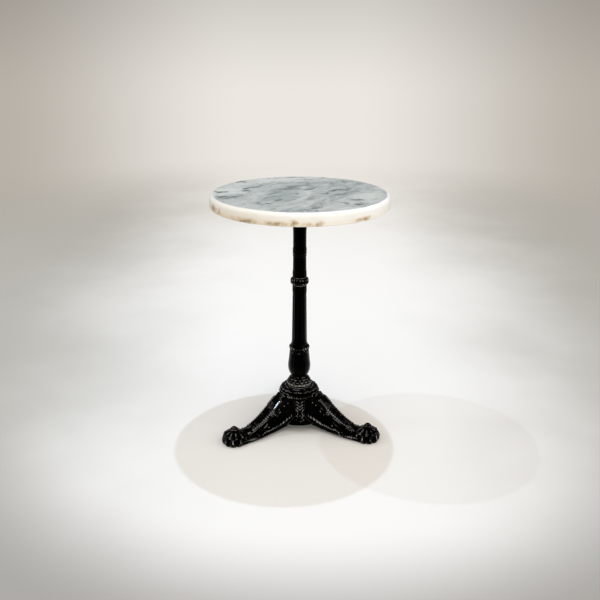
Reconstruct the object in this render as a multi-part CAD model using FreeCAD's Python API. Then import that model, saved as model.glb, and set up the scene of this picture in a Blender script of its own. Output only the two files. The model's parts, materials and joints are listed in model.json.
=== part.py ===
import FreeCAD, Part
import math
import os
from FreeCAD import Vector

# Round marble table on a cast tripod base.
# Millimetres, +Z up, the column on the Z axis and the feet on the plane Z = 0.
# The rear leg points along +Y.

# Marble slab
slab_diameter = 420.0
slab_thickness = 30.0
slab_top_rounding = 11.5
slab_bottom_rounding = 3.0

# Three-armed spider that carries the slab
arm_count = 3
arm_reach = 118.0
arm_root_width = 34.0
arm_tip_width = 24.0
arm_thickness = 9.0
spider_boss_radius = 30.0
spider_boss_height = 22.0
nut_recess_wall_gap = 3.5
pad_thickness = 2.0

# Slab screws, their washers and the inserts that they turn into
slab_screw_diameter = 6.0
slab_screw_grip = 9.0
slab_washer_thickness = 1.6
insert_diameter = 10.0
insert_length = 14.0
insert_glue_gap = 0.2

# Column castings, from the bottom up
base_collar_height = 28.0
base_collar_radius = 30.3
base_collar_swell_level = 10.0
base_collar_shoulder_level = 20.5
baluster_height = 68.0
baluster_neck_radius = 19.6
baluster_belly_radius = 27.3
baluster_belly_level = 28.0
baluster_waist_radius = 23.0
bead_collar_height = 18.0
bead_collar_radius = 22.8
bead_count = 20
large_bead_radius = 2.9
large_bead_level = 10.0
small_bead_radius = 2.0
small_bead_level = 4.0
lower_shaft_height = 153.0
lower_shaft_bottom_radius = 19.0
lower_shaft_top_radius = 16.7
flute_count = 12
flute_depth = 0.7
flute_cutter_radius = 4.5
flute_end_margin = 9.0
column_ring_height = 22.0
column_ring_radius = 21.7
column_ring_fillet = 1.0
upper_shaft_height = 55.0
upper_shaft_bottom_radius = 16.5
upper_shaft_top_radius = 15.9
capital_height = 95.0
capital_throat_radius = 16.6
capital_throat_level = 66.0

# Tie rod through the column, its nuts and washers
rod_diameter = 12.0
rod_bore_gap = 0.8
rod_end_margin = 2.5
top_washer_thickness = 2.5
bottom_washer_thickness = 4.0
bottom_washer_radius = 16.0

# Spigots that line up the castings of the column
spigot_radius = 11.5
spigot_height = 4.0
spigot_gap = 0.3
spigot_relief = 0.5

# Hub
hub_height = 86.9
apron_lift = 20.1
apron_radius = 60.0
apron_curve = 4.0
apron_outline_steps = 6
hub_waist_radius = 31.5
hub_wall = 7.0
hub_crown_radius = 28.5
hub_crown_thickness = 14.0
dome_radius = 49.5
dome_height = 10.0
dome_band_height = 11.0
dome_rim_slope = 4.0

# Legs
leg_azimuths = {"leg_front_left": -150.0, "leg_front_right": -30.0, "leg_rear": 90.0}
leg_seat_radius = 25.0
leg_seat_wall = 6.0
leg_seat_margin = 4.0
leg_pocket_gap = 0.3
leg_root_drop = 1.0
leg_shoulder_radius = 54.0
leg_ankle_radius = 152.0
leg_ankle_height = 24.0
leg_crest_curve = 1.45
leg_arch_curve = 2.0
leg_sole_gap = 1.5
leg_root_half_top = 18.5
leg_ankle_half_top = 15.0
leg_root_half_bottom = 24.5
leg_ankle_half_bottom = 28.0
leg_root_border = 18.4
leg_ankle_border = 9.0
leg_edge_height = 6.0
leg_panel_inset = 2.0
leg_panel_bevel = 1.0
leg_station_count = 7

# Paw feet
foot_radius = 188.5
paw_ball_radius = 27.0
paw_ball_level = 9.0
knob_radius = 10.5
knob_level = 34.0
knob_ahead = 1.0
toe_count = 6
toe_spread = 36.0
toe_radius = 8.0
toe_tip_reach = 21.0
toe_tip_level = 9.0
toe_knuckle_reach = 15.0
toe_knuckle_level = 22.0

# Leg bolts
leg_bolt_diameter = 8.0
leg_bolt_grip = 22.0
leg_washer_thickness = 1.6
leg_bolt_low = 40.0
leg_bolt_high = 70.0
leg_bolt_head_gap = 1.0

# Clearances and proportions shared by every screw, bolt and nut
thread_gap = 0.05
shank_gap = 0.5
hole_end_gap = 2.0
hex_flats_per_diameter = 1.5
nut_height_per_diameter = 0.8
head_height_per_diameter = 0.65
washer_radius_per_diameter = 1.05

# Levels worked out from the stack of castings
rod_radius = rod_diameter / 2
bore_radius = rod_radius + rod_bore_gap
crown_level = apron_lift + hub_height
rim_level = crown_level - dome_height
band_level = rim_level - dome_band_height
waist_level = band_level - dome_rim_slope
cavity_level = crown_level - hub_crown_thickness
baluster_level = crown_level + base_collar_height
bead_collar_level = baluster_level + baluster_height
lower_shaft_level = bead_collar_level + bead_collar_height
column_ring_level = lower_shaft_level + lower_shaft_height
upper_shaft_level = column_ring_level + column_ring_height
capital_level = upper_shaft_level + upper_shaft_height
spider_level = capital_level + capital_height
spider_top = spider_level + spider_boss_height
slab_level = spider_top + pad_thickness
rod_nut_height = rod_diameter * nut_height_per_diameter
leg_root_height = rim_level - leg_root_drop
leg_reach_end = foot_radius - toe_knuckle_reach
axis_up = Vector(0, 0, 1)
origin = Vector(0, 0, 0)


# Small helpers
def tube(outer, inner, bottom, top):
    """Upright ring, or a plain disc where the inner radius is zero."""
    solid = Part.makeCylinder(outer, top - bottom, Vector(0, 0, bottom))
    if inner > 0:
        solid = solid.cut(Part.makeCylinder(inner, top - bottom, Vector(0, 0, bottom)))
    return solid


def point(radius, level):
    return Vector(radius, 0, level)


def line(start, end):
    return Part.makeLine(point(*start), point(*end))


def curve(points):
    """Smooth edge through (radius, level) points."""
    spline = Part.BSplineCurve()
    spline.interpolate([point(*p) for p in points])
    return spline.toShape()


def turned(outline, bore):
    """Revolve edges that run from bottom to top about the axis, leaving a bore."""
    start = outline[0].Vertexes[0].Point
    end = outline[-1].Vertexes[-1].Point
    low = point(bore, start.z)
    high = point(bore, end.z)
    edges = [Part.makeLine(low, start)] + outline
    edges += [Part.makeLine(end, high), Part.makeLine(high, low)]
    return Part.Face(Part.Wire(edges)).revolve(origin, axis_up, 360)


def turn(shape, degrees):
    """Copy of a shape turned about the column's axis."""
    copy = shape.copy()
    copy.rotate(origin, axis_up, degrees)
    return copy


def around(shape, count, first=0.0):
    """Equal copies of a shape, evenly spaced about the axis."""
    return [turn(shape, first + 360.0 * i / count) for i in range(count)]


def along_x(shape):
    """Turn an upright shape so that its +Z points along +X."""
    copy = shape.copy()
    copy.rotate(origin, Vector(0, 1, 0), 90)
    return copy


def capsule(start, end, radius):
    """Round bar with ball ends."""
    bar = Part.makeCylinder(radius, (end - start).Length, start, end - start)
    return bar.fuse([Part.makeSphere(radius, start), Part.makeSphere(radius, end)])


def hexagon(diameter, bottom, top):
    """Upright hexagonal prism for a nut or a bolt head of the given thread."""
    corner = diameter * hex_flats_per_diameter / math.sqrt(3)
    angles = [math.radians(60 * i) for i in range(7)]
    ring = [Vector(corner * math.cos(a), corner * math.sin(a), bottom) for a in angles]
    return Part.Face(Part.makePolygon(ring)).extrude(Vector(0, 0, top - bottom))


def nut(diameter, bottom, top):
    return hexagon(diameter, bottom, top).cut(tube(diameter / 2 + thread_gap, 0, bottom, top))


def hex_bolt(diameter, length):
    """Bolt with its head's seat at Z = 0 and its shank running up from there."""
    head = hexagon(diameter, -diameter * head_height_per_diameter, 0)
    return head.fuse(tube(diameter / 2, 0, 0, length)).removeSplitter()


def washer(diameter, bottom, top):
    outer = diameter * washer_radius_per_diameter
    return tube(outer, diameter / 2 + shank_gap, bottom, top)


def stacked(outline, base, top):
    """Casting of the column: turned outline, socket below and spigot above."""
    socket_depth = spigot_height + spigot_relief
    body = turned(outline, bore_radius)
    body = body.cut(tube(spigot_radius + spigot_gap, 0, base, base + socket_depth))
    return body.fuse(tube(spigot_radius, bore_radius, top, top + spigot_height)).removeSplitter()


# Slab, spider and what joins them
screw_circle = arm_reach
screw_head_level = spider_top - arm_thickness - slab_washer_thickness
screw_length = slab_level - screw_head_level + slab_screw_grip


def on_arms(shape):
    """One copy of a shape on every arm of the spider, at its screw."""
    moved = shape.copy()
    moved.translate(Vector(screw_circle, 0, 0))
    return around(moved, arm_count, 90.0)


def make_slab():
    radius = slab_diameter / 2
    top = slab_level + slab_thickness
    slab = Part.makeCylinder(radius, slab_thickness, Vector(0, 0, slab_level))
    rims = [e for e in slab.Edges if isinstance(e.Curve, Part.Circle)]
    upper = [e for e in rims if abs(e.CenterOfMass.z - top) < thread_gap]
    slab = slab.makeFillet(slab_top_rounding, upper)
    rims = [e for e in slab.Edges if isinstance(e.Curve, Part.Circle)]
    lower = [e for e in rims if abs(e.CenterOfMass.z - slab_level) < thread_gap]
    slab = slab.makeFillet(slab_bottom_rounding, lower)
    hole = tube(insert_diameter / 2 + insert_glue_gap, 0, slab_level, slab_level + insert_length)
    return slab.cut(on_arms(hole))


def make_spider():
    boss = tube(spider_boss_radius, bore_radius, spider_level, spider_top)
    low = spider_top - arm_thickness
    corners = [Vector(0, -arm_root_width / 2, low), Vector(arm_reach, -arm_tip_width / 2, low)]
    corners += [Vector(arm_reach, arm_tip_width / 2, low), Vector(0, arm_root_width / 2, low)]
    plate = Part.Face(Part.makePolygon(corners + corners[:1])).extrude(Vector(0, 0, arm_thickness))
    tip = tube(arm_tip_width / 2, 0, low, spider_top)
    body = boss.fuse(around(plate, arm_count, 90.0)).fuse(on_arms(tip)).removeSplitter()
    recess_floor = spider_top - rod_nut_height - top_washer_thickness - rod_end_margin
    recess_radius = rod_diameter * washer_radius_per_diameter + nut_recess_wall_gap
    recess = tube(recess_radius, 0, recess_floor, spider_top)
    socket = tube(spigot_radius + spigot_gap, 0, spider_level, spider_level + spigot_height + spigot_relief)
    bore = tube(bore_radius, 0, spider_level, spider_top)
    holes = on_arms(tube(slab_screw_diameter / 2 + shank_gap, 0, low, spider_top))
    return body.cut([recess, socket, bore] + holes)


def make_spider_pads():
    pad = tube(arm_tip_width / 2, slab_screw_diameter / 2 + shank_gap, spider_top, slab_level)
    return Part.makeCompound(on_arms(pad))


def make_slab_inserts():
    bore = slab_screw_diameter / 2 + thread_gap
    insert = tube(insert_diameter / 2, bore, slab_level, slab_level + insert_length)
    return Part.makeCompound(on_arms(insert))


def make_spider_screws():
    screw = hex_bolt(slab_screw_diameter, screw_length)
    screw.translate(Vector(0, 0, screw_head_level))
    return Part.makeCompound(on_arms(screw))


def make_spider_washers():
    ring = washer(slab_screw_diameter, screw_head_level, screw_head_level + slab_washer_thickness)
    return Part.makeCompound(on_arms(ring))


# Tie rod with its nuts and washers
top_nut_level = spider_top - rod_end_margin - rod_nut_height
top_washer_level = top_nut_level - top_washer_thickness
bottom_washer_level = cavity_level - bottom_washer_thickness
bottom_nut_level = bottom_washer_level - rod_nut_height


def make_tie_rod():
    return tube(rod_radius, 0, bottom_nut_level - rod_end_margin, spider_top)


def make_bottom_washer():
    return tube(bottom_washer_radius, rod_radius + shank_gap, bottom_washer_level, cavity_level)


# Castings of the column
def make_capital():
    base = capital_level
    flare = capital_height - capital_throat_level
    outline = curve([
        (upper_shaft_top_radius, base),
        (upper_shaft_top_radius, base + flare / 2),
        (capital_throat_radius, base + capital_throat_level),
        ((capital_throat_radius + spider_boss_radius) / 2, spider_level - flare / 4),
        (spider_boss_radius, spider_level),
    ])
    return stacked([outline], base, spider_level)


def make_upper_shaft():
    start = (upper_shaft_bottom_radius, upper_shaft_level)
    end = (upper_shaft_top_radius, capital_level)
    return stacked([line(start, end)], upper_shaft_level, capital_level)


def make_column_ring():
    low = column_ring_level
    high = upper_shaft_level
    middle = (low + high) / 2
    edge = column_ring_fillet
    outline = curve([
        (lower_shaft_top_radius + edge / 4, low),
        (lower_shaft_top_radius + edge / 4, low + edge),
        (column_ring_radius - edge / 2, (low + edge + middle) / 2),
        (column_ring_radius, middle),
        (column_ring_radius - edge / 2, (high - edge + middle) / 2),
        (upper_shaft_bottom_radius + edge / 4, high - edge),
        (upper_shaft_bottom_radius + edge / 4, high),
    ])
    return stacked([outline], low, high)


def make_lower_shaft():
    low = lower_shaft_level
    high = column_ring_level
    outline = line((lower_shaft_bottom_radius, low), (lower_shaft_top_radius, high))
    body = stacked([outline], low, high)
    offset = flute_cutter_radius - flute_depth
    start = point(lower_shaft_bottom_radius + offset, low + flute_end_margin)
    end = point(lower_shaft_top_radius + offset, high - flute_end_margin)
    cutter = capsule(start, end, flute_cutter_radius)
    return body.cut(around(cutter, flute_count, 180.0 / flute_count))


def make_bead_collar():
    low = bead_collar_level
    high = lower_shaft_level
    outline = curve([
        (bead_collar_radius, low),
        (bead_collar_radius - small_bead_radius / 4, low + small_bead_level),
        (bead_collar_radius, low + large_bead_level),
        (lower_shaft_bottom_radius, high),
    ])
    body = stacked([outline], low, high)
    large = Part.makeSphere(large_bead_radius, point(bead_collar_radius, low + large_bead_level))
    small = Part.makeSphere(small_bead_radius, point(bead_collar_radius, low + small_bead_level))
    beads = around(large, bead_count) + around(small, bead_count, 180.0 / bead_count)
    return body.fuse(beads).removeSplitter()


def make_baluster():
    low = baluster_level
    high = bead_collar_level
    shoulder = (baluster_belly_radius + baluster_waist_radius) / 2
    outline = curve([
        (baluster_neck_radius, low),
        (shoulder, low + baluster_belly_level / 2),
        (baluster_belly_radius, low + baluster_belly_level),
        (shoulder, (low + baluster_belly_level + high) / 2),
        (baluster_waist_radius, high),
    ])
    return stacked([outline], low, high)


def make_base_collar():
    low = crown_level
    high = baluster_level
    outline = curve([
        (hub_crown_radius, low),
        (base_collar_radius, low + base_collar_swell_level),
        ((base_collar_radius + baluster_neck_radius) / 2, low + base_collar_shoulder_level),
        (baluster_neck_radius, high),
    ])
    return stacked([outline], low, high)


# Side view of a leg, which its pocket in the hub follows
def share_between(value, start, end):
    """How far a value lies between two others, from 0 to 1."""
    return min(max((value - start) / (end - start), 0.0), 1.0)


def leg_crest(radius):
    """Level of the leg's top at a distance from the column's axis."""
    if radius < leg_shoulder_radius:
        rise = share_between(radius, leg_seat_radius, leg_shoulder_radius)
        return leg_root_height + (rim_level - leg_root_height) * rise
    fall = 1 - share_between(radius, leg_shoulder_radius, leg_ankle_radius)
    return leg_ankle_height + (rim_level - leg_ankle_height) * fall ** leg_crest_curve


def leg_underside(radius):
    fall = 1 - share_between(radius, leg_seat_radius, foot_radius)
    return leg_sole_gap + (apron_lift - leg_sole_gap) * fall ** leg_arch_curve


def root_to_ankle(radius, root, ankle):
    """A size of the leg that changes evenly from its root to its ankle."""
    return root + (ankle - root) * share_between(radius, leg_seat_radius, leg_ankle_radius)


def leg_half_top(radius):
    return root_to_ankle(radius, leg_root_half_top, leg_ankle_half_top)


def leg_half_bottom(radius):
    return root_to_ankle(radius, leg_root_half_bottom, leg_ankle_half_bottom)


def leg_border_level(radius):
    """Level of the upper edge of the raised border along the leg's underside."""
    return leg_underside(radius) + root_to_ankle(radius, leg_root_border, leg_ankle_border)


# Hub
def bell_radius(level):
    """Radius of the hub's side, which flares out to the apron's edge."""
    rise = share_between(level, apron_lift, waist_level)
    return hub_waist_radius + (apron_radius - hub_waist_radius) * (1 - rise) ** apron_curve


def apron_outline(inset, top):
    """Bell-shaped side of the hub, from the apron's edge up to a level."""
    steps = [i / apron_outline_steps for i in range(apron_outline_steps + 1)]
    levels = [apron_lift + (top - apron_lift) * t for t in steps]
    return curve([(bell_radius(level) - inset, level) for level in levels])


def make_leg_pocket():
    """Space in the hub's side for a leg along +X, with a clearance on both flanks."""
    low_half = leg_half_bottom(apron_radius) + leg_pocket_gap
    high_half = leg_half_top(leg_seat_radius) + leg_pocket_gap
    edge_level = leg_root_height - leg_edge_height - leg_pocket_gap
    flank = [(low_half, 0), (low_half, leg_border_level(leg_seat_radius))]
    flank += [(high_half, edge_level), (high_half, rim_level)]
    ring = flank + [(-y, z) for y, z in reversed(flank)]
    corners = [Vector(leg_seat_radius, y, z) for y, z in ring]
    return Part.Face(Part.makePolygon(corners + corners[:1])).extrude(Vector(apron_radius, 0, 0))


def make_hub():
    dome_half = math.sqrt(0.5)
    shoulder_radius = hub_crown_radius + (dome_radius - hub_crown_radius) * dome_half
    outer = [
        apron_outline(0, waist_level),
        line((hub_waist_radius, waist_level), (dome_radius, band_level)),
        line((dome_radius, band_level), (dome_radius, rim_level)),
        curve([(dome_radius, rim_level), (shoulder_radius, rim_level + dome_height * dome_half),
               (hub_crown_radius, crown_level)]),
    ]
    body = turned(outer, bore_radius)
    cavity = turned([apron_outline(hub_wall, cavity_level)], bore_radius)
    cavity = cavity.fuse(tube(bore_radius, 0, apron_lift, cavity_level))
    seat_half = leg_root_half_bottom + leg_seat_margin
    seat = Part.makeBox(apron_radius, 2 * seat_half, hub_height,
                        Vector(leg_seat_radius - leg_seat_wall, -seat_half, apron_lift))
    cavity = cavity.cut([turn(seat, azimuth) for azimuth in leg_azimuths.values()])
    pocket = make_leg_pocket()
    head_room = leg_bolt_diameter * washer_radius_per_diameter + leg_bolt_head_gap
    bolt_hole = tube(leg_bolt_diameter / 2 + shank_gap, 0, 0, leg_seat_radius)
    bolt_hole = bolt_hole.fuse(tube(head_room, 0, 0, leg_seat_radius - leg_seat_wall))
    cuts = [cavity]
    for azimuth in leg_azimuths.values():
        cuts.append(turn(pocket, azimuth))
        for level in (leg_bolt_low, leg_bolt_high):
            hole = along_x(bolt_hole)
            hole.translate(Vector(0, 0, level))
            cuts.append(turn(hole, azimuth))
    body = body.cut(cuts)
    spigot = tube(spigot_radius, bore_radius, crown_level, crown_level + spigot_height)
    return body.fuse(spigot).removeSplitter()


# Legs
def leg_section(radius):
    """Closed outline across the leg, with a raised border and a sunk side panel."""
    half_top = leg_half_top(radius)
    half_bottom = leg_half_bottom(radius)
    border = leg_border_level(radius)
    top = leg_crest(radius)
    edge = top - leg_edge_height
    half = [
        (half_bottom, leg_underside(radius)),
        (half_bottom - leg_panel_bevel, border),
        (half_bottom - leg_panel_bevel - leg_panel_inset, border + leg_panel_bevel),
        (half_top - leg_panel_inset, edge - leg_panel_bevel),
        (half_top, edge),
        (half_top, top - leg_panel_bevel),
        (half_top - leg_panel_bevel, top),
    ]
    ring = half + [(-y, z) for y, z in reversed(half)]
    corners = [Vector(radius, y, z) for y, z in ring]
    return Part.makePolygon(corners + corners[:1])


def make_paw():
    ball = Part.makeSphere(paw_ball_radius, point(foot_radius, paw_ball_level))
    knob = Part.makeSphere(knob_radius, point(foot_radius + knob_ahead, knob_level))
    toes = []
    for i in range(toe_count):
        angle = math.radians(toe_spread * (i - (toe_count - 1) / 2))
        ahead = Vector(math.cos(angle), math.sin(angle), 0)
        tip = point(foot_radius, toe_tip_level) + ahead * toe_tip_reach
        knuckle = point(foot_radius, toe_knuckle_level) + ahead * toe_knuckle_reach
        toes.append(capsule(tip, knuckle, toe_radius))
    return ball.fuse([knob] + toes)


def make_leg():
    """Leg along +X."""
    root = Part.makeLoft([leg_section(leg_seat_radius), leg_section(leg_shoulder_radius)], True, True)
    span = leg_reach_end - leg_shoulder_radius
    stations = [leg_shoulder_radius + span * i / (leg_station_count - 1) for i in range(leg_station_count)]
    beam = Part.makeLoft([leg_section(radius) for radius in stations], True, False)
    body = root.fuse([beam, make_paw()])
    reach = foot_radius + paw_ball_radius + toe_radius
    below = Part.makeBox(2 * reach, 2 * reach, reach, Vector(0, -reach, -reach))
    cuts = [below]
    for level in (leg_bolt_low, leg_bolt_high):
        hole = along_x(tube(leg_bolt_diameter / 2 + thread_gap, 0, 0, leg_bolt_grip + hole_end_gap))
        hole.translate(Vector(leg_seat_radius, 0, level))
        cuts.append(hole)
    return body.cut(cuts).removeSplitter()


def at_leg_bolts(shape):
    """Copies of a shape made along +Z from its seat, at every bolt inside the hub."""
    copies = []
    for azimuth in leg_azimuths.values():
        for level in (leg_bolt_low, leg_bolt_high):
            copy = along_x(shape)
            copy.translate(Vector(leg_seat_radius - leg_seat_wall, 0, level))
            copies.append(turn(copy, azimuth))
    return Part.makeCompound(copies)


def make_leg_bolts():
    length = leg_washer_thickness + leg_seat_wall + leg_bolt_grip
    bolt = hex_bolt(leg_bolt_diameter, length)
    bolt.translate(Vector(0, 0, -leg_washer_thickness))
    return at_leg_bolts(bolt)


def make_leg_washers():
    return at_leg_bolts(washer(leg_bolt_diameter, -leg_washer_thickness, 0))


leg = make_leg()
nodes = {
    "marble_top": make_slab(),
    "slab_inserts": make_slab_inserts(),
    "top_spider": make_spider(),
    "spider_pads": make_spider_pads(),
    "spider_screws": make_spider_screws(),
    "spider_washers": make_spider_washers(),
    "tie_rod": make_tie_rod(),
    "rod_top_nut": nut(rod_diameter, top_nut_level, top_nut_level + rod_nut_height),
    "rod_top_washer": washer(rod_diameter, top_washer_level, top_nut_level),
    "rod_bottom_nut": nut(rod_diameter, bottom_nut_level, bottom_washer_level),
    "rod_bottom_washer": make_bottom_washer(),
    "capital": make_capital(),
    "upper_shaft": make_upper_shaft(),
    "column_ring": make_column_ring(),
    "lower_shaft": make_lower_shaft(),
    "bead_collar": make_bead_collar(),
    "baluster": make_baluster(),
    "base_collar": make_base_collar(),
    "hub": make_hub(),
    "leg_bolts": make_leg_bolts(),
    "leg_washers": make_leg_washers(),
}
for name, azimuth in leg_azimuths.items():
    nodes[name] = turn(leg, azimuth)

os.makedirs("parts", exist_ok=True)
for name, shape in nodes.items():
    box = shape.BoundBox
    print(f"{name:18s} solids {len(shape.Solids)}  valid {shape.isValid()}")
    print(f"    volume {shape.Volume / 1000:.2f} cm3, level {box.ZMin:.2f} to {box.ZMax:.2f}")
    shape.exportStep(f"parts/{name}.step")
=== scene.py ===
import itertools
import json
import math

import bpy
import numpy as np
from mathutils import Matrix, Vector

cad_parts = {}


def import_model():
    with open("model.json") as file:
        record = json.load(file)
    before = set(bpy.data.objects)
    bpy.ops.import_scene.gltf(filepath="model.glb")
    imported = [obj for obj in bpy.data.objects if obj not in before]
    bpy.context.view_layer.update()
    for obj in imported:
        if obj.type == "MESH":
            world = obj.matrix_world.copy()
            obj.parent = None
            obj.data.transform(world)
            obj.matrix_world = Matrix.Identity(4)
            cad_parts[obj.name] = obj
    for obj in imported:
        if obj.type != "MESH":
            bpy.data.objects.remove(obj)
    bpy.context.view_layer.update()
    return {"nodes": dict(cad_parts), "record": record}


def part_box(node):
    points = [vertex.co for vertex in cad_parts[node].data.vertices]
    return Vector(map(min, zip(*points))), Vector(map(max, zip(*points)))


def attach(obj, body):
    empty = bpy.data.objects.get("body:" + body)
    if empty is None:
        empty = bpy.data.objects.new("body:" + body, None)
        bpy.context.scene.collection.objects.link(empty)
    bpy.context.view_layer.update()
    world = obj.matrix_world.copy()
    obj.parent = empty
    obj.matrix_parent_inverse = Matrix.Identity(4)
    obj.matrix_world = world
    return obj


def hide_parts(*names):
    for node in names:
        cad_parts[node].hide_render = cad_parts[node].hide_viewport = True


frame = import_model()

# Looks of a round marble table on a black cast tripod base.
# Lengths of the pieces are in millimetres, and MM turns them into Blender's metres.
# Lengths of the stage are in metres.
# Angles about the column start at +X, and the photographed front faces -Y.
MM = 0.001
FRONT = math.radians(-90)
rng = np.random.default_rng(7)


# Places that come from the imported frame
def low(node):
    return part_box(node)[0].z / MM


def high(node):
    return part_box(node)[1].z / MM


stack = ["hub", "base_collar", "baluster", "bead_collar", "lower_shaft",
         "column_ring", "upper_shaft", "capital", "top_spider"]
base_of = {node: low(node) for node in stack}
top_of = {node: low(above) for node, above in zip(stack, stack[1:])}
mounts = {mount["name"]: mount["pos_m"] for mount in frame["record"]["mounts"]}
foot_radius = mounts["sole_rear"][1] / MM
seat_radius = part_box("leg_rear")[0].y / MM
rim_level = high("leg_rear")
crown_level = top_of["hub"]
apron_level = base_of["hub"]
slab_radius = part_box("marble_top")[1].x / MM
slab_base = low("marble_top")
slab_top = high("marble_top")
leg_turns = {
    node: math.atan2(mounts[sole][1], mounts[sole][0])
    for node, sole in (("leg_front_left", "sole_front_left"),
                       ("leg_front_right", "sole_front_right"), ("leg_rear", "sole_rear"))
}


# Small shapes for relief
def smoothstep(value, start, end):
    share = np.clip((value - start) / (end - start), 0, 1)
    return share * share * (3 - 2 * share)


def window(value, start, end, blend):
    """1 between start and end, with soft flanks inside them."""
    return smoothstep(value, start, start + blend) * (1 - smoothstep(value, end - blend, end))


def dome(value):
    """Round profile: 1 at zero, 0 from -1 and 1 outwards."""
    return np.sqrt(np.clip(1 - value * value, 0, None))


def fold(angle, count, first=0.0):
    """Place between spokes: 0 on a spoke, -1 and 1 halfway to the next."""
    turns = (angle - first) * count / math.tau
    return 2 * (turns - np.round(turns))


def leaf(across, along):
    """Pointed leaf with a raised middle rib: along runs from 0 at the root to 1 at the tip."""
    inside = (along > 0) & (along < 1)
    along = np.clip(along, 0.001, 0.999)
    half = np.sqrt(1 - along ** 3) * smoothstep(along, -0.5, 0.35)
    blade = np.sqrt(dome(across / half))
    rib = 0.3 * np.exp(-((across / 0.16) ** 2)) * (1 - along)
    return np.where(inside, blade * (0.75 + rib), 0)


def shingle(across, along):
    """Blunt leaf with an even thickness and a round end."""
    inside = (along > 0) & (along < 1)
    half = np.sqrt(1 - np.clip(along, 0.001, 0.999) ** 4)
    return np.where(inside, np.sqrt(dome(across / half)), 0)


def leaf_on(side, level, root, tip, width):
    """A leaf that lies between two points of a plane."""
    run = tip[0] - root[0]
    rise = tip[1] - root[1]
    length = math.hypot(run, rise)
    along = ((side - root[0]) * run + (level - root[1]) * rise) / length ** 2
    across = ((level - root[1]) * run - (side - root[0]) * rise) / length / width
    return leaf(across, along)


def smooth_curve(points, step):
    """Points about one step apart on a smooth curve through the given ones."""
    given = np.array(points, float)
    given = np.vstack([2 * given[0] - given[1], given, 2 * given[-1] - given[-2]])
    runs = []
    for before, start, end, after in zip(given, given[1:], given[2:], given[3:]):
        count = max(round(np.linalg.norm(end - start) / step), 1)
        share = np.arange(count)[:, None] / count
        cubic = (3 * start - before - 3 * end + after) * share ** 3
        square = (2 * before - 5 * start + 4 * end - after) * share ** 2
        runs.append(0.5 * (cubic + square + (end - before) * share + 2 * start))
    return np.vstack(runs + [given[-2:-1]])


# Materials
def tint(red, green, blue):
    """Linear colour of an 8-bit sRGB one."""
    def linear(value):
        share = value / 255
        return share / 12.92 if share <= 0.04045 else ((share + 0.055) / 1.055) ** 2.4
    return (linear(red), linear(green), linear(blue), 1.0)


class Nodes:
    """Shader nodes of a material or of the world."""

    def __init__(self, tree):
        self.tree = tree

    def feed(self, socket, value):
        """Links an output to the socket, or sets the socket to a plain value."""
        if isinstance(value, bpy.types.NodeSocket):
            self.tree.links.new(value, socket)
        else:
            socket.default_value = value

    def node(self, kind, inputs, output=0, **settings):
        made = self.tree.nodes.new(kind)
        for name, value in settings.items():
            setattr(made, name, value)
        for name, value in inputs.items():
            self.feed(made.inputs[name], value)
        return made.outputs[output]

    def ramp(self, value, start, end, low_value=0.0, high_value=1.0):
        return self.node("ShaderNodeMapRange", {
            "Value": value, "From Min": start, "From Max": end,
            "To Min": low_value, "To Max": high_value}, interpolation_type="SMOOTHSTEP")

    def math(self, operation, first, second=0.0):
        return self.node("ShaderNodeMath", {0: first, 1: second}, operation=operation)

    def vector(self, operation, *inputs, output=0):
        return self.node("ShaderNodeVectorMath", dict(enumerate(inputs)), output, operation=operation)

    def mix(self, share, first, second):
        """Mix of two colours, through the node's colour sockets."""
        return self.node("ShaderNodeMix", {0: share, 6: first, 7: second}, 2, data_type="RGBA")

    def coordinate(self, place, axis):
        return self.node("ShaderNodeSeparateXYZ", {"Vector": place}, axis)


class Surface(Nodes):
    """Principled material that is put together from textures in the object's own coordinates."""

    def __init__(self, name):
        self.material = bpy.data.materials.new(name)
        self.material.use_nodes = True
        super().__init__(self.material.node_tree)
        self.shader = self.tree.nodes["Principled BSDF"]
        self.place = self.node("ShaderNodeTexCoord", {}, "Object")

    def set(self, **inputs):
        """Feeds the shader's inputs, which are named with _ for a space."""
        for name, value in inputs.items():
            self.feed(self.shader.inputs[name.replace("_", " ")], value)

    def stretched(self, lengths, turn=0.0):
        """Coordinates for a texture that is drawn out along its own axes, which are turned about Z."""
        return self.node("ShaderNodeMapping", {
            "Vector": self.place, "Scale": lengths, "Rotation": (0, 0, turn)}, vector_type="TEXTURE")

    def noise(self, scale, detail=4.0, roughness=0.55, distortion=0.0, place=None):
        return self.node("ShaderNodeTexNoise", {
            "Vector": place or self.place, "Scale": scale, "Detail": detail,
            "Roughness": roughness, "Distortion": distortion})

    def bump(self, height, strength, distance):
        self.set(Normal=self.node("ShaderNodeBump", {
            "Height": height, "Strength": strength, "Distance": distance}))


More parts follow.
